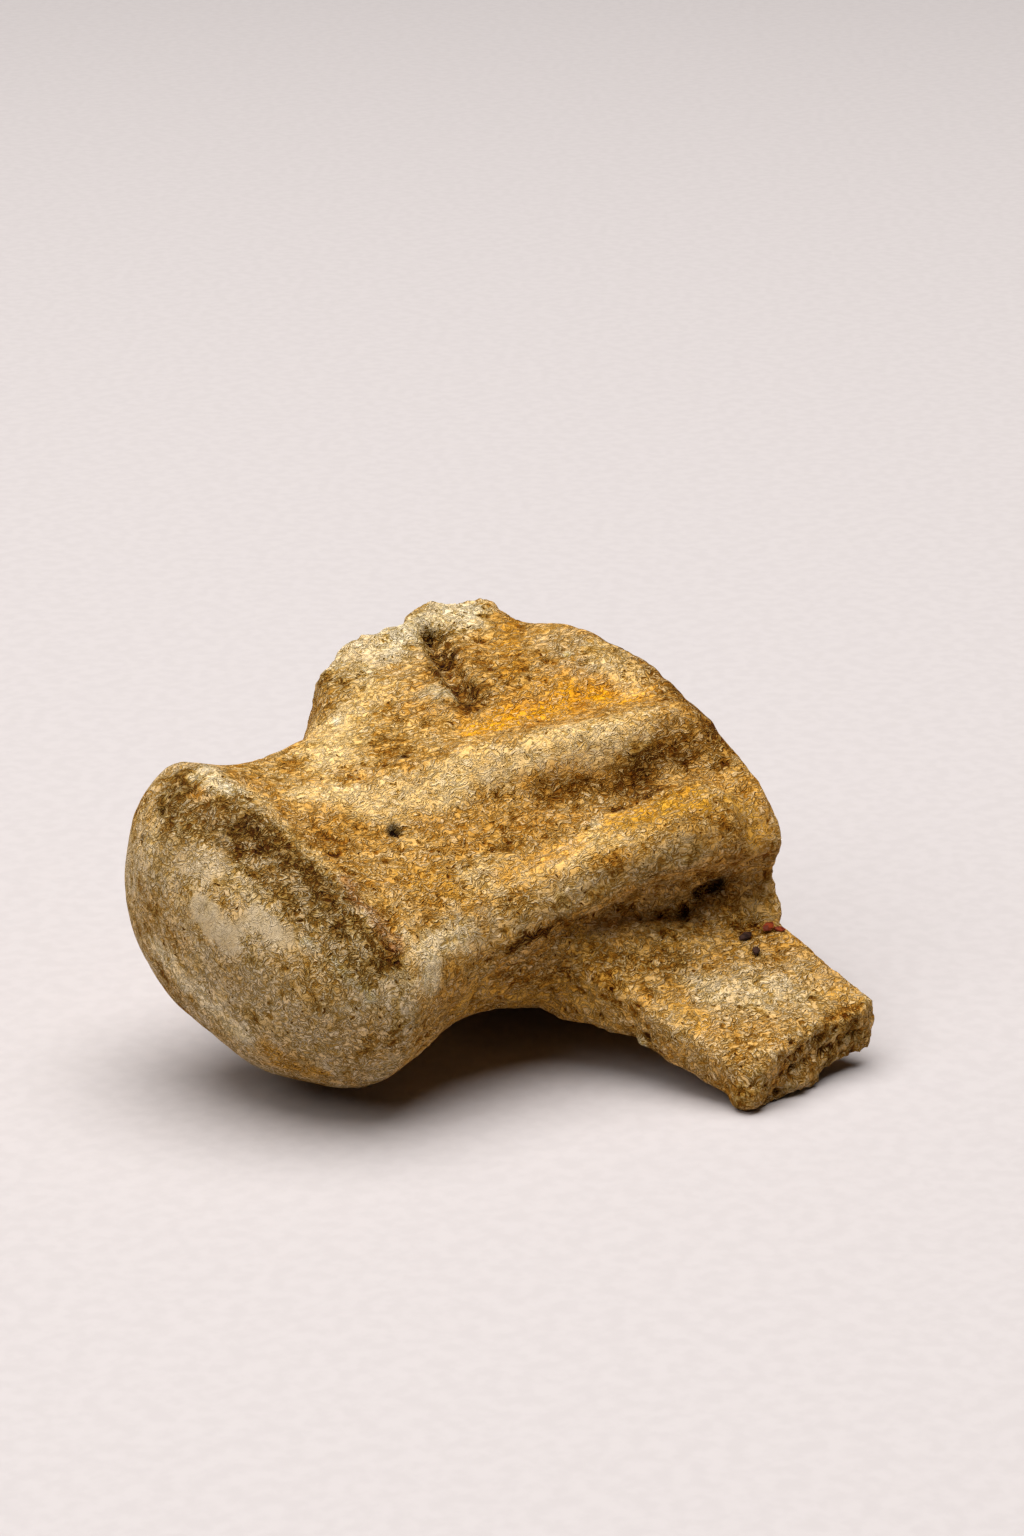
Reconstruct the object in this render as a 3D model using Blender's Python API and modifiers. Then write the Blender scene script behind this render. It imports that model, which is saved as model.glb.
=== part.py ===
"""Fossil vertebra of a mosasaur, a large marine lizard, at life size.

It is one bone from behind the rib cage, broken as such finds are: the left side process has lost its end,
the right one is a stump, and two stumps are left of the arch over the spinal cord. It lies as it rests on a
table, rolled over with its belly side up, on the rim of its cup end, the tip of the left process and the
longer arch stump.

Sizes are in metres. The bone is modelled in its own frame: +X runs from the ball end (condyle) to the cup end
(cotyle), +Y to the animal's left and +Z to its back. lie_down() then turns it over, with +Z up and the floor
at zero.
"""

import math

import bmesh
import bpy
import numpy as np
from mathutils import Matrix, Vector, noise

MM = 0.001

# Centrum: the drum of the bone
CENTRUM_LENGTH = 60.2 * MM
CONDYLE_HALF_WIDTH = 23.4 * MM
CONDYLE_BELLY_HEIGHT = 11.5 * MM
CONDYLE_BACK_HEIGHT = 18.5 * MM
CONDYLE_LEFT = 1.6 * MM
CONDYLE_DOWN = 3 * MM
CONDYLE_DOME = 13 * MM
CONDYLE_LIP = 0.4 * MM
CONDYLE_TURN = 2.6 * MM
COTYLE_HALF_WIDTH = 28.5 * MM
COTYLE_BELLY_HEIGHT = 19.1 * MM
COTYLE_BACK_HEIGHT = 22.5 * MM
COTYLE_LEFT = 0.8 * MM
COTYLE_ROUND = 3 * MM
COTYLE_DEPTH = 8 * MM
COTYLE_RIM = 4 * MM
WAIST_PLACE = 0.28
WAIST_SIDE_DEPTH = 4.2 * MM
WAIST_BELLY_DEPTH = 2.2 * MM
WAIST_BACK_DEPTH = 5.2 * MM
RIGHT_SWELL = 1.3 * MM
RIGHT_SINK = 2.3 * MM
LEFT_SINK = 0.6 * MM

# Slope of the left process's plate, down towards the condyle
PROCESS_LEAN = 0.02

# Keel along the belly side, and the hollows beside it
KEEL_HEIGHT = 3 * MM
KEEL_WIDTH = 4 * MM
TROUGH_DEPTH = 1.7 * MM
HOLLOW_DEPTH = 2 * MM

# Worn lumps all over the bone, and the rougher broken surfaces
LUMP_HEIGHT = 0.45 * MM
LUMP_SIZE = 7.5 * MM
BREAK_ROUGHNESS = 1.2 * MM
BREAK_GRAIN = 5 * MM

# Lay of the bone on the floor, and how much is worn flat below its lowest point
ROLL = math.radians(205.3)
PITCH = math.radians(-4)
WORN = 0.7 * MM

SKIN = 0.6 * MM
TRIANGLES = 10500


def smooth(value):
    """An even step from 0 to 1."""
    t = np.clip(value, 0, 1)
    return t * t * (3 - 2 * t)


def bump(value, centre, width):
    """A round hump of height 1."""
    return np.exp(-(((value - centre) / width) ** 2))


def between(first, last, share):
    return first + (last - first) * smooth(share)


def points_of(mesh):
    co = np.empty(len(mesh.vertices) * 3)
    mesh.vertices.foreach_get("co", co)
    return co.reshape(-1, 3)


def set_points(mesh, co):
    mesh.vertices.foreach_set("co", co.astype(np.float32).ravel())
    mesh.update()


def sphere_mesh(segments, rings):
    """A sphere's mesh, with each vertex's share of the way from pole to pole and its angle round the axis."""
    bm = bmesh.new()
    bmesh.ops.create_uvsphere(bm, u_segments=segments, v_segments=rings, radius=1)
    mesh = bpy.data.meshes.new("shape")
    bm.to_mesh(mesh)
    bm.free()
    co = points_of(mesh)
    along = np.arccos(np.clip(co[:, 2], -1, 1)) / math.pi
    angle = np.arctan2(co[:, 1], co[:, 0])
    return mesh, along, angle


def made(name, mesh, collection):
    """An object of this closed mesh in the collection, with its faces turned out."""
    bm = bmesh.new()
    bm.from_mesh(mesh)
    bmesh.ops.recalc_face_normals(bm, faces=bm.faces)
    bm.to_mesh(mesh)
    bm.free()
    mesh.name = name
    obj = bpy.data.objects.new(name, mesh)
    collection.objects.link(obj)
    return obj


def new_collection(name):
    collection = bpy.data.collections.new(name)
    bpy.context.scene.collection.children.link(collection)
    return collection


def centrum_profile(t):
    """Place along the bone and share of the outline there, from the condyle's pole to the cotyle's middle."""
    dome, side, end = 0.22, 0.8, 0.9
    share = np.clip(t / dome, 0, 1)
    x = -CONDYLE_DOME * (1 - share**3) ** 0.62
    x = np.where(t > dome, (t - dome) / (side - dome) * (CENTRUM_LENGTH - COTYLE_ROUND), x)
    turn = np.clip((t - side) / (end - side), 0, 1) * math.pi / 2
    x = np.where(t > side, CENTRUM_LENGTH - COTYLE_ROUND * (1 - np.sin(turn)), x)
    rounded = COTYLE_ROUND / COTYLE_HALF_WIDTH
    share = np.where(t > side, 1 - rounded * (1 - np.cos(turn)), share)
    share = np.where(t > end, (1 - rounded) * (1 - t) / (1 - end), share)
    return x, share


def waist(s):
    """How far the middle of the drum is drawn in, from 0 at the rims to 1."""
    power = math.log(0.5) / math.log(WAIST_PLACE)
    return np.sin(math.pi * s**power)


def centrum(collection):
    mesh, t, angle = sphere_mesh(128, 96)
    x, share = centrum_profile(t)
    s = np.clip(x / CENTRUM_LENGTH, 0, 1)
    c, n = np.cos(angle), np.sin(angle)

    # The waist sets in more slowly on the left side
    drawn = waist(s) * (1 - 0.75 * smooth(c + 0.5) * (1 - smooth(s / 0.3)))
    lip = CONDYLE_LIP * bump(x, 0, 2.2 * MM) * smooth((share - 0.8) / 0.2)
    half_width = between(CONDYLE_HALF_WIDTH, COTYLE_HALF_WIDTH, s) - WAIST_SIDE_DEPTH * drawn + lip
    belly = between(CONDYLE_BELLY_HEIGHT, COTYLE_BELLY_HEIGHT, s) - WAIST_BELLY_DEPTH * drawn + lip
    back = between(CONDYLE_BACK_HEIGHT, COTYLE_BACK_HEIGHT, s) - WAIST_BACK_DEPTH * drawn + 0.4 * lip
    y = share * half_width * np.sign(c) * np.abs(c) ** 0.86 + between(CONDYLE_LEFT, COTYLE_LEFT, s)
    z = share * np.where(n > 0, back * np.abs(n) ** 0.88, -belly * np.abs(n) ** 0.78)
    z = z - CONDYLE_DOWN * (1 - smooth(s))

    # The left side of the condyle's rim lies further forward. The belly side is fuller right of the waist,
    # and sunk at the cotyle's rim
    front = smooth(x / (8 * MM) + 1)
    x = x + CONDYLE_TURN * smooth((y + 4 * MM) / (28 * MM)) * (1 - smooth(s / 0.5))
    right = smooth((2 * MM - y) / (20 * MM))
    z = z - RIGHT_SWELL * front * right * smooth(-z / (8 * MM)) * (1 - smooth((s - 0.3) / 0.4))
    sunk = RIGHT_SINK * right + LEFT_SINK * bump(y, 8 * MM, 6 * MM)
    z = z + sunk * smooth(-z / (12 * MM)) * smooth((s - 0.6) / 0.3)

    under = smooth(-z / (5 * MM)) * smooth((x - 2 * MM) / (8 * MM)) * smooth((CENTRUM_LENGTH - x) / (7 * MM))
    grow = smooth((s - 0.15) / 0.6)
    middle = (-5 + 8 * s + 4 * smooth((s - 0.4) / 0.4)) * MM
    keel = bump(y, middle, KEEL_WIDTH) * KEEL_HEIGHT * (1 + 2 * grow) / 3
    trough = bump(y, middle + (8.5 - 2 * grow) * MM, 3.6 * MM) * TROUGH_DEPTH * smooth((s - 0.25) / 0.4)
    hollow = bump(y, middle - 9 * MM, 5 * MM) * HOLLOW_DEPTH * smooth((s - 0.25) / 0.4)
    z = z - under * (keel - trough - hollow)
    set_points(mesh, np.stack([x, y, z], 1))
    return made("centrum", mesh, collection)


def stations_at(stations, share):
    """Centre and half sizes at this share of the way through stations of (centre, half, half) in mm."""
    table = np.array([[*centre, one, other] for centre, one, other in stations]) * MM
    at = np.linspace(0, 1, len(table))
    return np.stack([np.interp(share, at, column) for column in table.T], 1), table[:, :3]


def limb(name, stations, collection, square=0.7, lean=0.0):
    """A stout limb through the stations, with half sizes along X and across; it can lean down to -X."""
    mesh, t, angle = sphere_mesh(48, 40)
    cap = 0.16
    found, places = stations_at(stations, np.clip((t - cap) / (1 - 2 * cap), 0, 1))
    first = Vector(places[0] - places[1]).normalized()
    last = Vector(places[-1] - places[-2]).normalized()
    along = Vector((1, 0, 0))
    across = last.cross(along).normalized()
    close = np.minimum(np.minimum(t, 1 - t) / cap, 1) * math.pi / 2
    bulge = found[:, 3:].min(1) * 0.5 * np.cos(close)
    share = np.sin(close) ** square
    c, n = np.cos(angle), np.sin(angle)
    wide = share * np.sign(c) * np.abs(c) ** square * found[:, 3]
    thick = share * np.sign(n) * np.abs(n) ** square * found[:, 4]
    co = found[:, :3] + np.where((t < 0.5)[:, None], first, last) * bulge[:, None]
    co = co + np.outer(wide, along) + np.outer(thick, across)
    co[:, 2] += lean * (co[:, 0].max() - co[:, 0])
    set_points(mesh, co)
    return made(name, mesh, collection)


def rod(name, stations, collection):
    """A round rod laid along the bone through the stations, with half sizes along Y and Z."""
    mesh, t, angle = sphere_mesh(32, 48)
    found, _ = stations_at(stations, t)
    share = np.sqrt(np.clip(np.minimum(t, 1 - t) / 0.12, 0, 1))
    y = share * found[:, 3] * np.cos(angle)
    z = share * found[:, 4] * np.sin(angle)
    set_points(mesh, found[:, :3] + np.stack([np.zeros_like(y), y, z], 1))
    return made(name, mesh, collection)


def block(name, middle, turn, size, collection):
    """A cube whose -Y face has its middle at this place, turned by turn."""
    bm = bmesh.new()
    bmesh.ops.create_cube(bm, size=size)
    mesh = bpy.data.meshes.new(name)
    bm.to_mesh(mesh)
    bm.free()
    mesh.transform(Matrix.Translation(middle + turn @ Vector((0, size / 2, 0))) @ turn)
    return made(name, mesh, collection)


def ridges(collection):
    """The roll along the left edge of the belly side, and the lower one along the right edge."""
    left = [((6, 14, -4), 3, 2), ((20, 17, -6.5), 5, 4.5), ((34, 17.5, -9.5), 5.5, 5.5)]
    left += [((47, 18, -12), 6, 6), ((56, 19, -12), 6, 6)]
    right = [((14, -15, -5), 3, 3), ((30, -18, -8), 5, 4), ((50, -18, -9), 6, 4)]
    rod("left_ridge", left, collection)
    rod("right_ridge", right, collection)


def side_processes(collection):
    left = [((41, 12, 1.2), 15, 8.4), ((42.9, 24, 0.8), 14.9, 5.7), ((44.9, 34, -0.8), 13.1, 3.3)]
    left.append(((46.8, 51, -1.6), 12.1, 3.1))
    right = [((38.5, -12, -2), 20.5, 10), ((39.8, -20, -3), 20.5, 8), ((44.1, -29.2, -4), 14.5, 6)]
    peak = [((46, -22, -5), 8, 5), ((47.8, -31.3, -7), 4.8, 2.8)]
    limb("left_process", left, collection, square=0.3, lean=PROCESS_LEAN)
    limb("right_process", right, collection, square=0.45)
    limb("right_peak", peak, collection, square=0.5)


def arch_stumps(collection):
    """What is left of the arch over the spinal cord, with its channel between them."""
    left = [((34, 7, 6), 13, 5), ((34, 8, 13), 12, 4), ((34, 8, 16), 11, 3.5)]
    right = [((31, -8, 6), 15, 5), ((30, -9, 16), 13, 3.8), ((29, -9, 27.5), 11.5, 3.2)]
    limb("left_stump", left, collection)
    limb("right_stump", right, collection, square=0.5)


def cutters(collection):
    """The cotyle's cup, the hollow over the left process, two grooves, and the break at that process's tip."""
    mesh, _, _ = sphere_mesh(96, 48)
    wide = COTYLE_HALF_WIDTH - COTYLE_RIM
    tall = (COTYLE_BELLY_HEIGHT + COTYLE_BACK_HEIGHT) / 2 - COTYLE_RIM
    middle = Vector((CENTRUM_LENGTH, COTYLE_LEFT, (COTYLE_BACK_HEIGHT - COTYLE_BELLY_HEIGHT) / 2))
    set_points(mesh, points_of(mesh) * (COTYLE_DEPTH, wide, tall) + middle)
    made("cup", mesh, collection)
    hollow = [((24, 26, -6.5), 3, 2), ((40, 26, -8.5), 5, 4), ((66, 30.2, -7.6), 5.2, 5.2)]
    rod("side_hollow", hollow, collection)
    groove = [((22, 22.3, -8), 1, 1), ((36.2, 21.8, -6.7), 1.5, 1.4), ((45.4, 24, -5.1), 1.5, 1.4)]
    rod("deep_groove", [*groove, ((54, 23.3, -6.4), 1.2, 1.2)], collection)
    slot = [((44.6, -27.5, -9.6), 1.2, 1.8), ((39.9, -18.5, -12.2), 1.3, 1.8), ((36.5, -11, -13.8), 0.9, 1.2)]
    limb("slot", slot, collection)
    turn = Matrix.Rotation(math.radians(-6), 4, "Z") @ Matrix.Rotation(math.radians(-25), 4, "X")
    block("tip_break", Vector((47, 48.3, -1.5)) * MM, turn, 40 * MM, collection)


def apply_modifiers(obj):
    graph = bpy.context.evaluated_depsgraph_get()
    mesh = bpy.data.meshes.new_from_object(obj.evaluated_get(graph))
    obj.modifiers.clear()
    obj.data = mesh


def boolean(obj, operation, collection):
    """Joins or cuts the object by all of the collection's objects, which then go."""
    for other in collection.objects:
        other.hide_render = True
        other.display_type = "WIRE"
    modifier = obj.modifiers.new(collection.name, "BOOLEAN")
    modifier.operation = operation
    modifier.solver = "EXACT"
    modifier.operand_type = "COLLECTION"
    modifier.collection = collection
    apply_modifiers(obj)
    for other in list(collection.objects):
        bpy.data.objects.remove(other)
    bpy.data.collections.remove(collection)


def keep_largest(obj):
    """Drops every closed surface but the largest."""
    bm = bmesh.new()
    bm.from_mesh(obj.data)
    left = set(bm.verts)
    largest = set()
    while left:
        edge = [left.pop()]
        group = set(edge)
        while edge:
            vert = edge.pop()
            near = {e.other_vert(vert) for e in vert.link_edges} & left
            left -= near
            group |= near
            edge.extend(near)
        largest = max(largest, group, key=len)
    bmesh.ops.delete(bm, geom=[v for v in bm.verts if v not in largest], context="VERTS")
    bm.to_mesh(obj.data)
    bm.free()


def even_skin(obj):
    """One even skin over the joined pieces, with soft hollows where they meet."""
    modifier = obj.modifiers.new("skin", "REMESH")
    modifier.mode = "VOXEL"
    modifier.voxel_size = SKIN
    modifier = obj.modifiers.new("soften", "SMOOTH")
    modifier.factor = 0.5
    modifier.iterations = 3
    apply_modifiers(obj)


def roughen(obj):
    """Low worn lumps all over, and rough, uneven surfaces where bone has broken away."""
    mesh = obj.data
    co = points_of(mesh)
    normals = np.empty(len(mesh.vertices) * 3)
    mesh.vertices.foreach_get("normal", normals)
    x, y, z = co.T
    left_tip = smooth((y - 43 * MM) / (5 * MM))
    right_end = smooth((-23 * MM - y) / (6 * MM))
    stumps = smooth((z - np.where(y < 0, 20, 14) * MM) / (4 * MM)) * (np.abs(y) < 15 * MM)
    stumps = stumps * smooth((x - 12 * MM) / (4 * MM)) * smooth((50 * MM - x) / (4 * MM))
    broken = np.maximum(np.maximum(left_tip, right_end), stumps)
    rise = np.zeros(len(co))
    for i, point in enumerate(co):
        rise[i] = noise.noise(Vector(point) / LUMP_SIZE) * LUMP_HEIGHT
        if broken[i] > 0:
            place = Vector(point) / BREAK_GRAIN
            grain = noise.noise(place) + 0.5 * noise.noise(place * 2.3)
            rise[i] += broken[i] * grain * BREAK_ROUGHNESS
    set_points(mesh, co + normals.reshape(-1, 3) * rise[:, None])


def lie_down(obj):
    """Turns the bone over and wears flat what it stands on."""
    obj.data.transform(Matrix.Rotation(PITCH, 4, "Y") @ Matrix.Rotation(ROLL, 4, "X"))
    co = points_of(obj.data)
    tip = co[co[:, 1] < -40 * MM]
    obj.data.transform(Matrix.Translation((0, 0, -tip[:, 2].min() - WORN)))
    floor = new_collection("floor_cut")
    block("floor", Vector((0, 0, 0)), Matrix.Rotation(math.radians(-90), 4, "X"), 400 * MM, floor)
    boolean(obj, "DIFFERENCE", floor)


def fewer_triangles(obj):
    """Fewer triangles, with the flats kept at zero and the origin below the middle of the bone's box."""
    modifier = obj.modifiers.new("fewer", "DECIMATE")
    modifier.ratio = min(1, TRIANGLES / sum(len(face.vertices) - 2 for face in obj.data.polygons))
    apply_modifiers(obj)
    co = points_of(obj.data)
    co[:, 2] = np.where(co[:, 2] < 0.1 * MM, 0, co[:, 2])
    co[:, :2] -= (co.min(0) + co.max(0))[:2] / 2
    set_points(obj.data, co)


def fossil_material():
    material = bpy.data.materials.new("fossil_bone")
    material.use_nodes = True
    shader = material.node_tree.nodes["Principled BSDF"]
    shader.inputs["Base Color"].default_value = (0.35, 0.21, 0.08, 1)
    shader.inputs["Roughness"].default_value = 0.75
    shader.inputs["Metallic"].default_value = 0
    return material


def main():
    for obj in list(bpy.data.objects):
        bpy.data.objects.remove(obj)
    bone = centrum(new_collection("mosasaur_vertebra"))
    bone.name = "vertebra"
    pieces = new_collection("pieces")
    ridges(pieces)
    side_processes(pieces)
    arch_stumps(pieces)
    boolean(bone, "UNION", pieces)
    cuts = new_collection("cutters")
    cutters(cuts)
    boolean(bone, "DIFFERENCE", cuts)
    even_skin(bone)
    roughen(bone)
    lie_down(bone)
    fewer_triangles(bone)
    keep_largest(bone)
    bone.data.shade_smooth()
    bone.data.set_sharp_from_angle(angle=math.radians(40))
    bone.data.materials.clear()
    bone.data.materials.append(fossil_material())


main()
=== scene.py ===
import itertools
import math

import bmesh
import bpy
import numpy as np
from mathutils import Matrix, Vector


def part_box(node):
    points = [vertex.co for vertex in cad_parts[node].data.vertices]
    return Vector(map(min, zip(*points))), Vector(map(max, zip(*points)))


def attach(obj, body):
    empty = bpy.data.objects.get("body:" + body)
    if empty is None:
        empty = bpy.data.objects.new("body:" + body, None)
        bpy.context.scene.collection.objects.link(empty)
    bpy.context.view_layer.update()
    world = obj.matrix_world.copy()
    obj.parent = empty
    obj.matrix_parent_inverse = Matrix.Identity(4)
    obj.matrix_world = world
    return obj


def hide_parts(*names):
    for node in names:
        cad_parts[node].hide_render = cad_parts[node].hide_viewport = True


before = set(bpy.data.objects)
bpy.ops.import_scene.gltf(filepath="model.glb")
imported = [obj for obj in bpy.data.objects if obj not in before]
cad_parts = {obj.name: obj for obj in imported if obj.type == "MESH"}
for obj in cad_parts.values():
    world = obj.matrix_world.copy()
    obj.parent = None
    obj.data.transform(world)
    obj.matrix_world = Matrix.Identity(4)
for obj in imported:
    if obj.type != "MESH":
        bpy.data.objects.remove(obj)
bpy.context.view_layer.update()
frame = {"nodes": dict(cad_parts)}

MM = 0.001

# The bone's own frame inside the row's: +X from the domed end to the cupped end, +Y to the animal's left,
# +Z to its back
ROLL = math.radians(205.3)
PITCH = math.radians(-4)
OWN_ORIGIN = Vector((-24.15, 7.87, 20.01)) * MM
OWN_TURN = (Matrix.Rotation(PITCH, 4, "Y") @ Matrix.Rotation(ROLL, 4, "X")).to_3x3()

# Where the bone's regions begin, in millimetres of its own frame
LEFT_BREAK = 43
RIGHT_BREAK = -24
STUMPS_START, STUMPS_END = 12, 50
STUMPS_HALF_WIDTH = 16
RIGHT_STUMP_BREAK, LEFT_STUMP_BREAK = 20, 14
CUP_START = 54
CUP_RADIUS = 23
FACE_EDGE = 1.2
LEFT_PROCESS_ROOT = 24

# The fine mesh: the size of its cells, and how high over the floor its flats are left as they are
SKIN = 0.47 * MM
FLAT_LEVEL = 0.6 * MM

# Over how many rings of neighbours the skin is softened, and softened on the thin left process
SOFT_RINGS = 6
PROCESS_SOFT_RINGS = 2

# Over how many rings of neighbours pits, sharp edges and broad hollows show; pits and hollows take grime and
# painted shade, crests a painted highlight
PIT_RINGS = 5
EDGE_RINGS = 12
HOLLOW_RINGS = 70

# How deep each kind of wear goes, in millimetres
WORN_LUMPS = 0.12
FIBRES = 0.2
BREAK_LUMPS = 0.4
BREAK_RIDGES = 0.7
SPONGE_PITS = 0.2
CHIPPED_EDGES = 0.45

# How dirty plain bone is, from 0 to 1
PLAIN_DIRT = 0.38

# Colours as the bone shows them, in sRGB
TAN = (230, 178, 98)
CREAM = (255, 216, 150)
PALE = (252, 230, 192)
CHALK = (240, 228, 200)
OCHRE = (228, 168, 52)
ORANGE = (250, 176, 26)
OLIVE = (206, 160, 84)
BROWN = (124, 90, 46)
DARK = (70, 47, 22)
BLACK = (30, 26, 24)
GREY = (228, 200, 160)
RUST = (176, 108, 66)
ASH = (208, 176, 128)
PUTTY = (198, 176, 142)


def linear(colour):
    """The linear values of an sRGB colour."""
    c = np.array(colour) / 255
    return np.where(c <= 0.04045, c / 12.92, ((c + 0.055) / 1.055) ** 2.4)


def smooth(value):
    """An even rise from 0 to 1 as the value does, level at both ends."""
    t = np.clip(value, 0, 1)
    return t * t * (3 - 2 * t)


def own_frame(points):
    """Points of the row's frame in the bone's own frame, in millimetres."""
    return (points - np.array(OWN_ORIGIN)) @ np.array(OWN_TURN) / MM


def lumps(points, size, seed=0):
    """Smooth noise from -1 to 1 at these points in millimetres, with lumps of this size."""
    # each seed lies elsewhere in one endless pattern, whose corners get their values from a fixed hash
    places = points / size + seed * 17.3
    cell = np.floor(places).astype(np.int64)
    part = places - cell
    fade = part**3 * (part * (part * 6 - 15) + 10)
    total = np.zeros(len(points))
    for corner in itertools.product((0, 1), repeat=3):
        at = cell + corner
        key = at[:, 0] * 73856093 ^ at[:, 1] * 19349663 ^ at[:, 2] * 83492791
        key = (key ^ (key >> 13)) * 1274126177 & 0xFFFFFFFF
        value = ((key ^ (key >> 16)) & 0xFFFF) / 32767.5 - 1
        total += value * np.prod(np.where(corner, fade, 1 - fade), axis=1)
    return total


def rough(points, size, seed=0, layers=3):
    """Layered noise from about -1 to 1."""
    total = sum(lumps(points, size / 2**i, seed + i) / 2**i for i in range(layers))
    return total / sum(1 / 2**i for i in range(layers))


def distance_to_line(points, line):
    """Distance from each point to a line through the given corners, or to one corner."""
    corners = np.array(line, float)
    best = np.linalg.norm(points - corners[0], axis=1)
    for start, end in zip(corners[:-1], corners[1:]):
        along = end - start
        share = np.clip((points - start) @ along / (along @ along), 0, 1)
        best = np.minimum(best, np.linalg.norm(points - start - share[:, None] * along, axis=1))
    return best


# Places of marks on the bone, each a point or the corners of a line, in millimetres of the row's frame
FORAMEN = [(-11.2, -0.9, 30.8)]
SMALL_FORAMEN = [(-3.5, 6.6, 36.6)]
CREST_PIT = [(-32.8, 15.7, 34)]
FACE_PIT = [(-35.2, 17, 30.8)]
STUMP_SLOT = [(18.2, 27, 43.1), (14.3, 19.4, 41.7), (11.5, 12.8, 39.9)]
ORANGE_STREAK = [(29.5, 25.6, 42.6), (23, 18.4, 42.4), (18, 12.2, 41.3)]
ROOT_PIT = [(27.9, -15.1, 19.1), (25.5, -15, 18.5)]
FACE_CRACK = [(-30.6, -8.5, 24), (-26.2, -15.1, 17.9)]
NUB = [(8.4, -22.5, 5.6)]
PIT_OVER_NUB = [(8.4, -21.4, 6)]
PIT_UNDER_NUB = [(8.6, -23.5, 6.6)]
LEFT_PROCESS_TOP = [(14, -27, 10.5), (27, -31, 9.5)]
KEEL = [(-17, 6.4, 34.5), (-8.2, 1.9, 33.4), (0.2, 0.7, 35), (7.8, -1.5, 36.5), (16.2, -2.8, 38.9)]
ROLL_UNDERSIDE = [
    (-6, -12.8, 22.5),
    (-0.4, -14.6, 23.5),
    (7.3, -16.6, 24.7),
    (15.4, -18.2, 25.2),
    (20, -18.9, 26),
]
CREST = [(-30, 14.4, 36), (-28.7, 10.1, 35.8), (-27.6, 3.9, 33.9), (-26.7, -1.9, 31.2), (-26.2, -6.8, 28.3)]
INSIDE_CREST = [
    (-30.3, 8.7, 34.9),
    (-30.2, 0, 30.6),
    (-29.3, -5.9, 27.1),
    (-27.7, -11.2, 23.7),
    (-25.7, -14.5, 20.5),
]
LOWER_CREST = [
    (-27.6, 4.4, 34),
    (-26.7, -1.9, 31.2),
    (-26.2, -6.8, 28.3),
    (-24.8, -11.6, 25.1),
    (-23.5, -14.9, 22),
]

# Dents and bumps: (depth, radius, place), in millimetres; a bump's depth is negative
DENTS = [
    (0.6, 0.8, FORAMEN),
    (0.5, 1.1, STUMP_SLOT),
    (0.7, 0.7, SMALL_FORAMEN),
    (0.5, 0.5, CREST_PIT),
    (0.6, 0.6, FACE_PIT),
    (0.7, 0.9, ROOT_PIT),
    (0.7, 0.9, [(22.7, -14.9, 17)]),
    (0.3, 1.2, [(1.8, -15.7, 19.5), (12.2, -14.7, 19.3), (21.5, -16, 17.5), (27, -15.9, 19.4)]),
    (-0.25, 0.5, FACE_CRACK),
    (1.3, 0.9, [(17.9, -37.4, 1)]),
    (0.8, 0.6, PIT_OVER_NUB),
    (0.6, 0.5, PIT_UNDER_NUB),
    (-0.8, 0.8, NUB),
    (0.6, 0.6, [(20.8, -37.3, 3.9), (32.4, -35.6, 4.9)]),
    (0.4, 0.5, [(19, -37.1, 5.2), (30, -36.1, 6.2)]),
    (-0.7, 1.4, [(14, -37.6, 2.2)]),
    (-0.6, 1.2, [(21.8, -37.1, 1.4)]),
    (0.5, 0.7, [(11.8, -10.2, 29.4), (16, -10.1, 29.8), (20, -12.1, 31)]),
    (0.6, 0.8, [(-2, -8, 28.3), (5, -9, 28.6)]),
]
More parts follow.
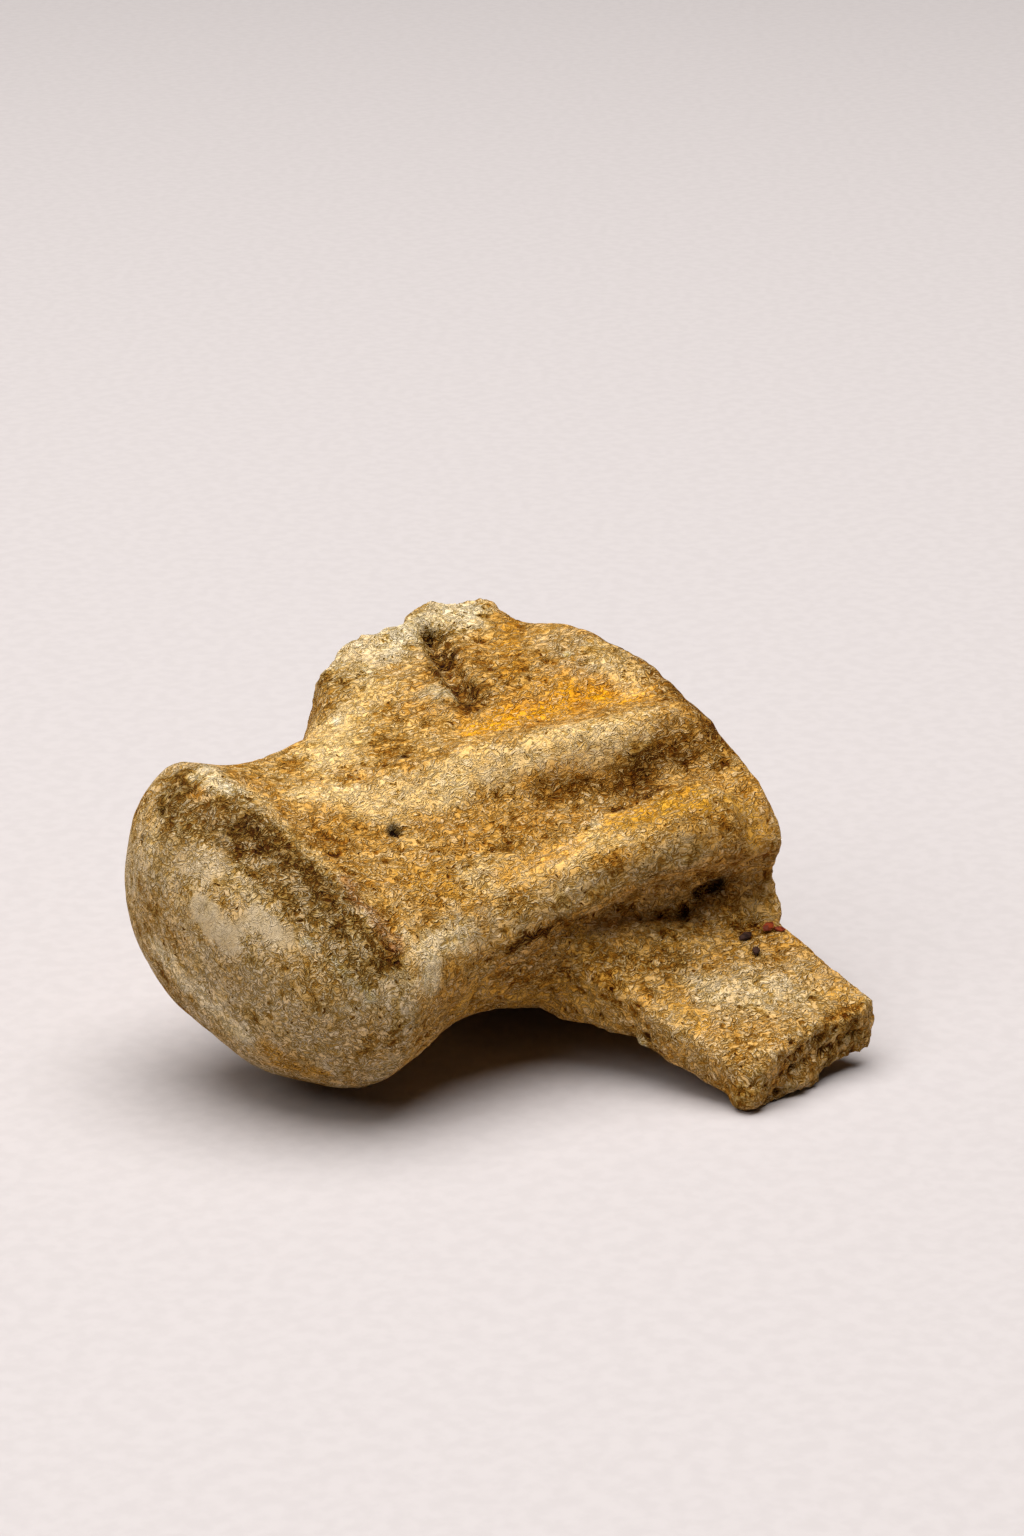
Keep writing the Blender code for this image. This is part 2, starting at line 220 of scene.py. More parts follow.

# Stains, with painted shade and a painted highlight among them, laid one over another in this order: (colour,
# radius in millimetres, strength, place)
STAINS_AND_PAINTED_LIGHT = [
    # The belly side: the waist, the keel, the orange hollow and the trough
    (CREAM, 4.2, 1.0, [(-10, 13.4, 37), (-2.9, 20.2, 37.9), (4, 21.4, 39)]),
    (CREAM, 3.0, 1.0, KEEL),
    (OCHRE, 2.4, 0.55, [(-15, -6.1, 27.5), (-9.5, -9.1, 25.5)]),
    (PALE, 2.8, 0.8, [(-18.6, -16.3, 19.2), (-17.3, -13.9, 22.5), (-9.5, -12.6, 21)]),
    (OCHRE, 3.4, 0.6, [(-10.4, -11.7, 12.5), (0.3, -10.1, 9.4), (5.5, -14.6, 9)]),
    (ORANGE, 0.9, 0.75, [(-16.9, -2.2, 29.6)]),
    (ORANGE, 3.3, 1.0, [(9.7, 6.9, 37.2), (16.3, 6.5, 37.9), (24.2, 6.3, 39.5), (28.7, 1.1, 39.2)]),
    (OLIVE, 2.0, 0.9, ORANGE_STREAK),
    (ORANGE, 1.4, 0.5, ORANGE_STREAK),
    (GREY, 1.9, 0.6, [(17.5, -5, 37.9), (20, -5.1, 37.4)]),
    (BROWN, 4.0, 1.0, [(11.2, -4.8, 30.9), (18, -8.1, 30.2), (23.5, -8, 35.3), (27, -9.6, 35)]),
    (CREAM, 2.6, 0.9, [(14, -4.5, 36.7), (19, -6, 37.4), (23, -5.5, 38.6)]),
    (DARK, 2.7, 0.75, [(18.1, -8.1, 30.2), (21.6, -13.1, 32), (22.1, -8.6, 34.2)]),
    # Painted shade: dark spots of shadow along two dents at the foot of the trough
    (DARK, 1.1, 0.7, [(-0.5, -8.3, 28.1), (6, -10.1, 28.2)]),
    (CHALK, 1.1, 1.0, [(11.8, -11.2, 29.6), (15, -11.6, 30)]),
    # The roll along the left edge, and the bone under it
    (CREAM, 2.6, 0.8, [(-6, -9.2, 25.6), (4, -12, 27.2), (11, -13.5, 28.5)]),
    (ORANGE, 1.7, 0.6, [(-2.8, -10.1, 26), (4, -11.4, 27.6), (8, -12.2, 28.2)]),
    (OCHRE, 2.8, 1.0, [(13.7, -12.9, 29.9), (21.1, -15.5, 31.4), (26.8, -17, 31.4)]),
    (ASH, 2.2, 0.9, ROLL_UNDERSIDE),
    (OCHRE, 3.0, 0.6, [(29, -16.6, 30), (31, -18.6, 26)]),
    # The brown and dark lines under the roll are stain, and partly painted shade in the crease there
    (BROWN, 3.6, 0.5, [(1.8, -15.2, 18), (12.2, -14.7, 18), (21.5, -16, 17), (30, -16.6, 18)]),
    (DARK, 1.0, 0.9, [(-5.6, -14.3, 18.3), (-2.5, -15.3, 19.4), (1.8, -15.8, 20)]),
    (DARK, 1.3, 0.6, [(1.8, -15.7, 19.5), (12.2, -14.7, 19.3), (21.5, -16, 17.5), (29, -15.9, 20)]),
    (OCHRE, 2.6, 0.65, [(7.1, -17.8, 13.8), (5.5, -15.1, 16.5)]),
    # The left side process and its broken end
    (BROWN, 6.5, 0.6, LEFT_PROCESS_TOP),
    (GREY, 6.5, 0.4, LEFT_PROCESS_TOP),
    (CREAM, 6.5, 0.25, LEFT_PROCESS_TOP),
    (PALE, 3.0, 0.55, [(16.9, -25.7, 11.7), (21, -27.5, 11.2), (25.4, -29.4, 10.6)]),
    (OCHRE, 2.2, 0.6, [(12.5, -24.6, 11.4), (12.5, -28.1, 10)]),
    (BROWN, 2.4, 0.8, [(8, -18.5, 14), (11.8, -18.9, 14.4), (16, -21, 13.5)]),
    (BROWN, 2.6, 0.75, [(0.1, -14.2, 15.9), (7.5, -16.5, 15.4)]),
    (ORANGE, 1.4, 0.3, [(12.5, -29.6, 9.2), (15, -32.1, 8.5)]),
    (OCHRE, 1.6, 0.7, [(31.7, -33.1, 9.1)]),
    (BROWN, 2.2, 0.65, [(19, -37.6, 4.4), (26, -36.6, 4.4), (32.4, -35.6, 4.9)]),
    # The right process's stump, with its slot, and the far rim
    (PALE, 4.4, 1.0, [(4, 27.9, 41), (11.5, 29.7, 43.2), (15.4, 29.4, 43.8), (24, 30.4, 44.6)]),
    (OLIVE, 4.4, 0.75, [(-0.5, 24.6, 39.7), (1.3, 27, 39.3), (2, 30.4, 37)]),
    (GREY, 1.4, 0.6, [(6.1, 28.4, 41.9), (8, 26.4, 42)]),
    # The brown, black and dark along the slot are stain, and partly painted shade down the slot
    (BROWN, 3.2, 1.0, [(18.5, 27.4, 43.4), (14.3, 19.4, 41.7), (11.5, 12.8, 39.9)]),
    (BLACK, 0.7, 0.75, [(18.2, 27, 43.1), (14.3, 19.4, 41.7), (12.8, 16, 40.9)]),
    (DARK, 1.7, 1.0, STUMP_SLOT),
    (CHALK, 1.5, 0.6, [(9.8, 14.5, 40.1), (8, 16.4, 40)]),
    (GREY, 3.2, 0.55, [(28.5, 14.8, 43.2), (28, 8.4, 42)]),
    (CREAM, 2.4, 0.65, [(30.5, 9.4, 42.9), (30.1, 5.3, 41.3), (30, 2.4, 40)]),
    # The domed face and the crest over it
    (ASH, 6.5, 0.35, [(-36.3, 5.5, 27), (-34.5, -3, 22)]),
    (PUTTY, 1.5, 0.95, [(-36.7, 3.8, 26.2), (-36.1, -0.9, 23.7)]),
    (PUTTY, 1.2, 0.9, [(-33.8, -3.1, 25.9), (-32.4, -6.1, 24.5)]),
    (PUTTY, 1.4, 0.45, [(-33.5, 4, 30.6), (-36.4, 12.6, 29)]),
    (PALE, 1.7, 0.85, [(-36.9, 12.1, 19.1), (-36.3, 6.5, 15.6), (-33.9, -0.4, 11)]),
    (CHALK, 0.7, 1.0, FACE_CRACK),
    (BROWN, 5.0, 0.95, CREST),
    (BROWN, 3.0, 0.85, INSIDE_CREST),
    (BROWN, 3.4, 0.9, [(-32.8, 12.3, 33.9), (-31.8, 6.8, 33.2)]),
    (BROWN, 2.6, 0.7, [(-35.5, 10.6, 31.2), (-36.6, 13, 26)]),
    (DARK, 2.6, 0.75, LOWER_CREST),
    (CREAM, 1.0, 0.5, [(-25.3, 12.3, 37.7), (-24.3, 7.5, 35.7), (-24.5, 1.3, 32.9), (-23.4, -6.6, 29)]),
    (RUST, 1.3, 0.6, [(-23.4, -6.6, 29), (-22.4, -14, 23)]),
    (OCHRE, 2.0, 0.85, [(-31.8, -3.3, 8.6), (-28.2, -6.2, 6)]),
    (OCHRE, 1.8, 0.5, [(-28.2, -6.2, 6), (-23.3, -8.8, 4.3)]),
    (BROWN, 2.4, 0.35, [(-31.8, -3.3, 7.6), (-27, -8, 4.8)]),
    (GREY, 4.0, 0.5, [(-29, -11.1, 15), (-27.8, -12.8, 12.3)]),
    # Painted highlight: a pale spot on the top of the crest
    (PALE, 1.6, 0.9, [(-27.3, 14.5, 38), (-27.2, 10.6, 37)]),
    (BROWN, 2.2, 0.5, [(-28.6, 16.9, 37.2), (-32.8, 15.7, 34)]),
    (ORANGE, 0.9, 0.6, [(-29.6, 12.8, 36)]),
    # Pores, pits and white nubs
    (BLACK, 1.0, 0.9, FORAMEN),
    (BLACK, 0.7, 0.8, SMALL_FORAMEN),
    (BLACK, 0.5, 0.9, CREST_PIT),
    (BLACK, 0.6, 0.9, FACE_PIT),
    (BLACK, 1.0, 0.95, ROOT_PIT),
    (BLACK, 0.8, 0.95, [(22.7, -14.9, 17), (22.3, -15.3, 16)]),
    (BLACK, 0.6, 0.9, PIT_OVER_NUB),
    (BLACK, 0.5, 0.9, PIT_UNDER_NUB),
    (CHALK, 0.8, 1.0, NUB),
    (CHALK, 0.7, 1.0, [(-2.9, 20.2, 37.9)]),
    (CHALK, 0.5, 1.0, [(27.1, 11.8, 42.6)]),
]


# How stains and painted light lie: how far their outline wanders, how far they reach and how soft their edge
# is, as shares of their radius, and by how much at most their edge is torn, in millimetres
STAIN_WANDER = 0.7
STAIN_REACH = 1.4
STAIN_EDGE = 1.1
SMOOTH_PATCH_EDGE = 0.3
STAIN_TEAR = 1.4

# The share of grime and painted shade that a stain brings or takes away, by its colour, and how thinly a dark
# one's colour lies
DIRT_AND_SHADE_BROUGHT = {DARK: 1.1, BROWN: 0.75, OLIVE: 0.75, RUST: 0.75}
DIRT_AND_SHADE_TAKEN = {PUTTY: 0.85, PALE: 0.85, CHALK: 0.85, CREAM: 0.85, ORANGE: 0.7, OCHRE: 0.7}
DARK_STAIN = 0.35


class Skin:
    """The bone's fine mesh as arrays, with the averages over neighbours that its wear is worked out from."""

    def __init__(self, mesh):
        self.mesh = mesh
        self.co = np.empty(len(mesh.vertices) * 3)
        mesh.vertices.foreach_get("co", self.co)
        self.co = self.co.reshape(-1, 3)
        edges = np.empty(len(mesh.edges) * 2, np.int32)
        mesh.edges.foreach_get("vertices", edges)
        edges = edges.reshape(-1, 2)
        self.ends = np.concatenate([edges[:, 0], edges[:, 1]])
        self.others = np.concatenate([edges[:, 1], edges[:, 0]])
        self.count = np.maximum(np.bincount(self.ends, minlength=len(self.co)), 1)

    def spread(self, values, rings):
        """Values averaged with their neighbours' once for each ring."""
        values = values.copy().reshape(len(self.co), -1)
        for _ in range(rings):
            near = [np.bincount(self.ends, column[self.others], len(self.co)) for column in values.T]
            values = (values + np.stack(near, 1) / self.count[:, None]) / 2
        return values

    def normals(self):
        """Puts the points into the mesh, and gives the way out of the bone at each."""
        self.mesh.vertices.foreach_set("co", self.co.astype(np.float32).ravel())
        self.mesh.update()
        found = np.empty(len(self.co) * 3)
        self.mesh.vertices.foreach_get("normal", found)
        return found.reshape(-1, 3)

    def hollow(self, rings):
        """How far each point lies below the mean level round it, in millimetres."""
        return ((self.spread(self.co, rings) - self.co) * self.normals()).sum(1) / MM


def fine_skin(node):
    """A copy of the node with its corners merged, remade as an even fine mesh."""
    mesh = node.data.copy()
    bm = bmesh.new()
    bm.from_mesh(mesh)
    bmesh.ops.remove_doubles(bm, verts=bm.verts, dist=0.001 * MM)
    bm.to_mesh(mesh)
    bm.free()
    coarse = bpy.data.objects.new("coarse", mesh)
    bpy.context.scene.collection.objects.link(coarse)
    remesh = coarse.modifiers.new("even", "REMESH")
    remesh.mode = "VOXEL"
    remesh.voxel_size = SKIN
    graph = bpy.context.evaluated_depsgraph_get()
    fine = bpy.data.meshes.new_from_object(coarse.evaluated_get(graph))
    bpy.data.objects.remove(coarse)
    bone = bpy.data.objects.new("bone", fine)
    bpy.context.scene.collection.objects.link(bone)
    return bone


def region_masks(own):
    """Where the broken ends, the domed face and the cup lie, each from 0 to 1."""
    x, y, z = own.T
    tip = smooth((y - LEFT_BREAK) / 5)
    stub = smooth((RIGHT_BREAK - y) / 5)
    height = z - np.where(y < 0, RIGHT_STUMP_BREAK, LEFT_STUMP_BREAK)
    stumps = smooth(height / 4) * (np.abs(y) < STUMPS_HALF_WIDTH)
    stumps = stumps * smooth((x - STUMPS_START) / 4) * smooth((STUMPS_END - x) / 4)
    broken = np.maximum(np.maximum(tip, stub), stumps)
    face = smooth((FACE_EDGE - x + 2.6 * smooth((y + 4) / 28)) / 2)
    cup = smooth((x - CUP_START) / 3) * smooth((CUP_RADIUS - np.hypot(y - 1, z - 1)) / 3)
    return broken, face, cup


def weather(skin, low, high):
    """Lumps, fibres, pits, chips and dents in the bone's surface, kept inside the box from low to high."""
    own = own_frame(skin.co)
    broken, face, cup = region_masks(own)
    fibre = own * (0.3, 1, 1)
    depth = WORN_LUMPS * rough(own, 3.2, seed=2)
    depth += (1 - face) * FIBRES * rough(fibre, 1.6, seed=3, layers=2)
    ridges = np.abs(rough(own, 1.9, seed=5, layers=2))
    depth += broken * (BREAK_LUMPS * rough(own, 3, seed=4) + BREAK_RIDGES * ridges)
    sponge = smooth((rough(own, 1.5, seed=6, layers=2) - 0.12) / 0.3)
    where = smooth((rough(own, 6, seed=7, layers=2) + 0.25 + broken) / 0.5)
    depth += SPONGE_PITS * sponge * where * (1 - 0.7 * face)
    places = skin.co / MM
    bent = places + 0.5 * np.stack([rough(places, 1.5, seed=20 + i, layers=2) for i in range(3)], 1)
    edge = smooth((-skin.hollow(EDGE_RINGS) - 0.1) / 0.3)
    depth += CHIPPED_EDGES * edge * smooth(rough(own, 1.7, seed=8) / 0.5 + 0.3)
    for deep, radius, line in DENTS:
        depth += deep * np.exp(-((distance_to_line(bent, line) / radius) ** 2))
    skin.co = skin.co - skin.normals() * (depth * MM)[:, None]
    skin.co = np.clip(skin.co, low, high)
    return own, broken, face, cup, sponge * where


def paint(skin, own, broken, face, cup, sponge):
    """Colours over the bone, with painted shade in its hollows and under it and a painted highlight on its
    crests, and three shares for its grain: grime with painted shade, strokes along it, and smooth patches.
    """
    places = skin.co / MM
    count = len(places)
    colour = np.tile(linear(TAN), (count, 1))
    dirt_and_shade = np.full(count, PLAIN_DIRT)
    polish = np.zeros(count)

    def lay(shade, amount):
        """Lays a colour over the bone, as thickly as the amount says."""
        nonlocal colour
        colour = colour + (linear(shade) - colour) * np.clip(amount, 0, 1)[:, None]

    broad = rough(own * (0.6, 1, 1), 14, seed=30)
    patch = rough(own, 6, seed=31)
    small = rough(own, 2.2, seed=32)
    lay(CREAM, 0.4 * smooth((broad + 0.05 + 0.5 * small) / 0.5))
    lay(OCHRE, 0.28 * smooth((rough(own, 8, seed=33) - 0.1 + 0.5 * small) / 0.4))
    lay(GREY, 0.25 * smooth((rough(own, 9, seed=34) - 0.12 + 0.4 * small) / 0.4))
    dirt_and_shade += 0.2 * smooth((patch - 0.1 + 0.3 * small) / 0.4)
    lay(GREY, face)
    lay(OCHRE, face * 0.2 * smooth((patch + 0.2) / 0.5))
    dirt_and_shade -= 0.05 * face
    lay(BROWN, cup * 0.4)
    dirt_and_shade += 0.25 * cup
    lay(PALE, broken * 0.35 * smooth((small + 0.3) / 0.6))
    coarse = rough(own, 3.6, seed=40)
    torn = rough(own, 1.3, seed=41, layers=2)
    spots = rough(own, 0.9, seed=42, layers=2)
    for shade, radius, strength, line in STAINS_AND_PAINTED_LIGHT:
        far = distance_to_line(places, line) + STAIN_WANDER * radius * coarse
        far += min(radius, STAIN_TEAR) * torn
        soft_edge = (SMOOTH_PATCH_EDGE if shade == PUTTY else STAIN_EDGE) * radius
        amount = strength * smooth((STAIN_REACH * radius - far) / soft_edge)
        amount = amount * np.clip(1 + 0.5 * spots, 0, 1)
        dirt_and_shade = np.maximum(dirt_and_shade, DIRT_AND_SHADE_BROUGHT.get(shade, 0) * amount)
        dirt_and_shade = dirt_and_shade * (1 - DIRT_AND_SHADE_TAKEN.get(shade, 0) * amount)
        if shade in (BROWN, DARK):
            amount = amount * DARK_STAIN
        lay(shade, amount)
        if shade == PUTTY:
            polish = np.maximum(polish, amount)
    shallow, deep = skin.hollow(PIT_RINGS), skin.hollow(HOLLOW_RINGS)
    # Grime and painted shade gather in pits and broad hollows, and grime in the spongy patches
    dirt_and_shade += 0.7 * smooth((shallow - 0.04) / 0.2) + 0.25 * smooth((deep - 0.3) / 0.9) + 0.25 * sponge
    # Darker in pits and browner in broad hollows: grime there, and painted shade; paler on crests and sharp
    # edges: painted highlight
    lay(DARK, 0.5 * smooth((shallow - 0.05) / 0.25))
    lay(BROWN, 0.25 * smooth((deep - 0.25) / 0.9))
    lay(PALE, 0.35 * smooth((-shallow - 0.03) / 0.14))
    # Painted shade: browner towards the bottom, on the underside near the floor
    under = smooth((6 - places[:, 2]) / 6)
    lay(BROWN, 0.15 * under)
    streak = (1 - face) * (1 - broken) * (1 - cup)
    return colour, np.stack([np.clip(dirt_and_shade, 0, 1), streak, polish], 1)


def keep_attribute(mesh, name, values):
    """Keeps three values for each point on the mesh, where a material can read them."""
    attribute = mesh.attributes.new(name, "FLOAT_COLOR", "POINT")
    full = np.concatenate([values, np.ones((len(values), 1))], 1)
    attribute.data.foreach_set("color", full.astype(np.float32).ravel())


class Wire:
    """A socket among a material's nodes. Sums, products and powers of wires add the Math nodes for them."""

    def __init__(self, tree, socket=None):
        self.tree = tree
        self.socket = socket

    def make(self, kind, settings=None, values=None, out=0):
        """Another node, its settings set first, then its sockets filled; gives one of its outputs."""
        node = self.tree.nodes.new(kind)
        for name, value in (settings or {}).items():
            setattr(node, name, value)
        for name, value in (values or {}).items():
            if isinstance(value, Wire):
                self.tree.links.new(value.socket, node.inputs[name])
            else:
                node.inputs[name].default_value = value
        return Wire(self.tree, node.outputs[out])

    def math(self, operation, first, second=0.0):
        """A Math node of this operation."""
        return self.make("ShaderNodeMath", {"operation": operation}, {0: first, 1: second})

    def __add__(self, other):
        return self.math("ADD", self, other)

    __radd__ = __add__

    def __sub__(self, other):
        return self.math("SUBTRACT", self, other)

    def __rsub__(self, other):
        return self.math("SUBTRACT", other, self)

    def __mul__(self, other):
        return self.math("MULTIPLY", self, other)

    __rmul__ = __mul__

    def __pow__(self, other):
        return self.math("POWER", self, other)

    def step(self, low, high):
        """An even rise from 0 to 1 as this value goes from low to high."""
        return self.make(
            "ShaderNodeMapRange",
            {"interpolation_type": "SMOOTHSTEP"},
            {0: self, 1: low, 2: high, 3: 0.0, 4: 1.0},
        )

    def end(self, shader):
        """Makes this shader the material's surface."""
        out = self.tree.nodes.new("ShaderNodeOutputMaterial")
        self.tree.links.new(shader.socket, out.inputs[0])

    def near(self, middle, width):
        """1 where this value is at the middle, falling to 0 within the width."""
        return 1 - self.math("ABSOLUTE", self - middle).step(0.0, width)


def mixed(share, first, second, blend="MIX"):
    """Two colours mixed by this share of the second."""
    settings = {"data_type": "RGBA", "blend_type": blend}
    return share.make("ShaderNodeMix", settings, {0: share, 6: first, 7: second}, 2)


# The grain of the bone, in its own frame in millimetres: how far the fibres curl, and how much closer
# the strokes lie each way
CURL = (2.2, 2.2, 2.2)
ALONG_BONE = (0.6, 1.75, 1.75)
ALL_ROUND = (1.35, 1.35, 1.35)
STROKE_SWIRL = 0.9

# How deep the relief of the grain is, in metres, and how matt the bone and the crumbs are
RELIEF = 0.0003
BONE_ROUGHNESS = 0.75
BONE_SHEEN = 0.07
GRAIN_SHEEN = 0.1

# The tint of the warm patches, and the colour of the pale fibres
WARM = (1.0, 0.84, 0.5, 1)
FIBRE_PALE = (1.0, 0.88, 0.68, 1)

# How fast darkening by grain, grime and painted shade dims the red and the blue of a colour, against the
# green
RED_FADE = 0.68
BLUE_FADE = 2.15

# The crumbs' mottling: how dark it gets, and how many clouds of it lie in a metre
GRAIN_MOTTLE = 0.45
GRAIN_CLOUDS = 1500.0


def new_finish(name):
    """An empty material, and a wire to make its nodes with."""
    material = bpy.data.materials.new(name)
    material.use_nodes = True
    material.node_tree.nodes.clear()
    return material, Wire(material.node_tree)


def fossil_finish():
    """Fossil bone: the painted colours under fine curled fibres, with grime and painted shade between them
    and dark pores.
    """
    material, start = new_finish("fossil_bone")
    painted = start.make("ShaderNodeAttribute", {"attribute_name": "paint"})
    grain = start.make("ShaderNodeAttribute", {"attribute_name": "grain"})
    dirt_and_shade, streak, polish = [start.make("ShaderNodeSeparateColor", {}, {0: grain}, i) for i in range(3)]

    place = start.make("ShaderNodeTexCoord", {}, {}, 3)
    turn = OWN_TURN.inverted().to_euler()
    own = start.make("ShaderNodeMapping", {}, {0: place, 2: tuple(turn), 3: (1000, 1000, 1000)})

    def noise(where, scale, detail=2.0, out=0, shift=0.0, swirl=0.0):
        """Noise from 0 to 1, or its colour with out 1; each shift gives another pattern."""
        values = {"Vector": where, "W": shift, "Scale": scale, "Detail": detail}
        values.update({"Roughness": 0.6, "Distortion": swirl})
        return start.make("ShaderNodeTexNoise", {"noise_dimensions": "4D"}, values, out)

    def scaled(vector, by):
        """A vector or colour times another, part by part."""
        return start.make("ShaderNodeVectorMath", {"operation": "MULTIPLY"}, {0: vector, 1: by})

    bend = noise(own, 0.7, detail=1.0, out=1)
    bent = {0: bend, 1: CURL, 2: own}
    curled = start.make("ShaderNodeVectorMath", {"operation": "MULTIPLY_ADD"}, bent)
    along = scaled(curled, ALONG_BONE)
    around = scaled(curled, ALL_ROUND)
    lined = streak.step(0.35, 0.65)

    def strokes(scale, shift):
        """Noise drawn out along the bone on its sides, and even all round elsewhere."""
        drawn = noise(along, scale, detail=1.0, shift=shift, swirl=STROKE_SWIRL)
        even = noise(around, scale, detail=1.0, shift=shift, swirl=STROKE_SWIRL)
        return lined * drawn + (1 - lined) * even

    cloud = noise(own, 0.75, detail=3.0, shift=2.0)
    patchy = noise(own, 0.9, detail=1.0, shift=4.0)
    hue = noise(own, 0.25, detail=1.0, shift=5.0)
    dull = noise(own, 0.33, detail=4.0, shift=8.0)
    stroke = strokes(0.95, shift=1.0)
    thread = strokes(1.5, shift=7.0)
    fine = noise(curled, 2.6, shift=3.0)
    pore_at = {"Vector": curled, "Scale": 1.3}
    pore = 1 - start.make("ShaderNodeTexVoronoi", {"feature": "F1"}, pore_at).step(0.1, 0.3)
    pore_colour = start.make("ShaderNodeTexVoronoi", {}, pore_at, 1)
    lot = start.make("ShaderNodeSeparateColor", {}, {0: pore_colour}, 0)

    rough_part = 1 - 0.8 * polish
    soil_and_shade = (cloud + 0.36 * dirt_and_shade).step(0.64, 0.9) * rough_part
    broken_up = 0.2 + 0.8 * (patchy + 0.3 * dirt_and_shade).step(0.48, 0.58)
    depth = stroke - 0.5
    dark_line = depth.near(0.0, 0.05 + 0.09 * dirt_and_shade) * broken_up * (0.7 + 0.3 * dirt_and_shade) * rough_part
    light_line = start.math("MAXIMUM", depth.near(0.13, 0.08), 0.8 * thread.near(0.61, 0.06)) * rough_part
    thin_line = thread.near(0.5, 0.07) * fine.step(0.4, 0.6) * rough_part
    black = pore * (lot + 0.4 * dirt_and_shade).step(0.85, 0.95) * rough_part

    tone = mixed(0.3 * hue.step(0.46, 0.62), painted, WARM, "MULTIPLY")
    tone = mixed((0.34 - 0.02 * dirt_and_shade) * light_line, tone, FIBRE_PALE)
    clean = (1 - 0.65 * soil_and_shade) * (1 - (0.25 + 0.3 * dirt_and_shade) * thin_line)
    clean = clean * (1 - (0.08 + 0.4 * dirt_and_shade) * dull.step(0.5, 0.66))
    clean = clean * (1 - (0.34 + 0.66 * dirt_and_shade) * dark_line) * (1 - 0.88 * black)
    clean = clean * (1 - (0.04 + 0.2 * dirt_and_shade) * (1 - fine.step(0.35, 0.6)))
    tint = {0: clean**RED_FADE, 1: clean, 2: clean**BLUE_FADE}
    base = scaled(tone, start.make("ShaderNodeCombineColor", {}, tint))

    height = 0.7 * light_line - dark_line - 0.3 * thin_line - 1.2 * black - 0.4 * soil_and_shade + 0.2 * fine
    bump = start.make("ShaderNodeBump", {}, {"Height": height, "Distance": RELIEF, "Strength": 1.0})
    matt = BONE_ROUGHNESS - 0.14 * polish + 0.1 * soil_and_shade
    facts = {"Base Color": base, "Roughness": matt, "Normal": bump, "Specular IOR Level": BONE_SHEEN}
    start.end(start.make("ShaderNodeBsdfPrincipled", {}, facts))
    return material


def add_bone(frame):
    """The bone itself: a fine skin over the CAD node, worn, painted and standing for that node."""
    node = frame["nodes"]["vertebra"]
    bone = fine_skin(node)
    low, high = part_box("vertebra")
    skin = Skin(bone.data)
    level = skin.co[:, 2].copy()
    on_process = smooth((own_frame(skin.co)[:, 1] - LEFT_PROCESS_ROOT) / 4)[:, None]
    soft = skin.spread(skin.co, SOFT_RINGS)
    soft += on_process * (skin.spread(skin.co, PROCESS_SOFT_RINGS) - soft)
    skin.co = np.where((level < FLAT_LEVEL)[:, None], skin.co, soft)
    facts = weather(skin, np.array(low), np.array(high))
    colour, grain = paint(skin, *facts)
    skin.normals()
    keep_attribute(bone.data, "paint", colour)
    keep_attribute(bone.data, "grain", grain)
    bone.data.shade_smooth()
    bone.data.materials.clear()
    bone.data.materials.append(fossil_finish())
    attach(bone, "root")
    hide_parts("vertebra")


def grain_finish(name, colour, roughness):
    """Matt mineral, mottled from this colour to a darker one."""
    material, start = new_finish(name)
    place = start.make("ShaderNodeTexCoord", {}, {}, 3)
    cloud = start.make("ShaderNodeTexNoise", {}, {"Vector": place, "Scale": GRAIN_CLOUDS, "Detail": 2.0})
    shade = tuple(linear(colour)) + (1,)
    darker = tuple(linear(colour) * GRAIN_MOTTLE) + (1,)
    mottled = mixed(cloud.step(0.4, 0.6), shade, darker)
    facts = {"Base Color": mottled, "Roughness": roughness, "Specular IOR Level": GRAIN_SHEEN}
    start.end(start.make("ShaderNodeBsdfPrincipled", {}, facts))
    return material


def add_piece(bm, name):
    """An object with this name, made of what was built in bm."""
    mesh = bpy.data.meshes.new(name)
    bm.to_mesh(mesh)
    bm.free()
    piece = bpy.data.objects.new(name, mesh)
    bpy.context.scene.collection.objects.link(piece)
    return piece


# Crumbs of matrix left by the root of the left process: (place, half sizes, turn), in millimetres and degrees
RED_GRAINS = [
    ((30.8, -21.2, 14.7), (1.3, 0.65, 0.3), 20),
    ((32.3, -21.6, 14.1), (0.9, 0.5, 0.3), -25),
]
DARK_GRAINS = [
    ((26.8, -21.4, 14.5), (1.3, 0.6, 0.3), 10),
    ((26.5, -23.6, 13.3), (0.8, 0.55, 0.3), 40),
]
RED_STONE = (150, 62, 30)
DARK_STONE = (66, 42, 32)
PROCESS_SLOPE = math.radians(24)


def add_grains(kind, crumbs, colour, roughness):
    """Flat crumbs of one kind bedded in the top of the left process, lying along its slope."""
    bm = bmesh.new()
    for middle, half, turn in crumbs:
        found = bmesh.ops.create_icosphere(bm, subdivisions=1, radius=1)["verts"]
        bmesh.ops.scale(bm, vec=Vector(half) * MM, verts=found)
        lean = Matrix.Rotation(PROCESS_SLOPE, 3, "X") @ Matrix.Rotation(math.radians(turn), 3, "Z")
        bmesh.ops.rotate(bm, cent=(0, 0, 0), matrix=lean, verts=found)
        bmesh.ops.translate(bm, vec=Vector(middle) * MM, verts=found)
    grains = add_piece(bm, kind + "_grains")
    grains.data.materials.append(grain_finish(kind + "_grain", colour, roughness))
    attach(grains, "root")


# The camera that sees the bone as the photo does: degrees, metres, and millimetres of lens and sensor
CAMERA_AZIMUTH = -40.68
CAMERA_ELEVATION = 18.22
CAMERA_DISTANCE = 0.547
CAMERA_AIM = Vector((0.005763, -0.002484, 0.035689))
CAMERA_LENS = 107.03
CAMERA_SENSOR = 36
CLIP_START, CLIP_END = 0.01, 20


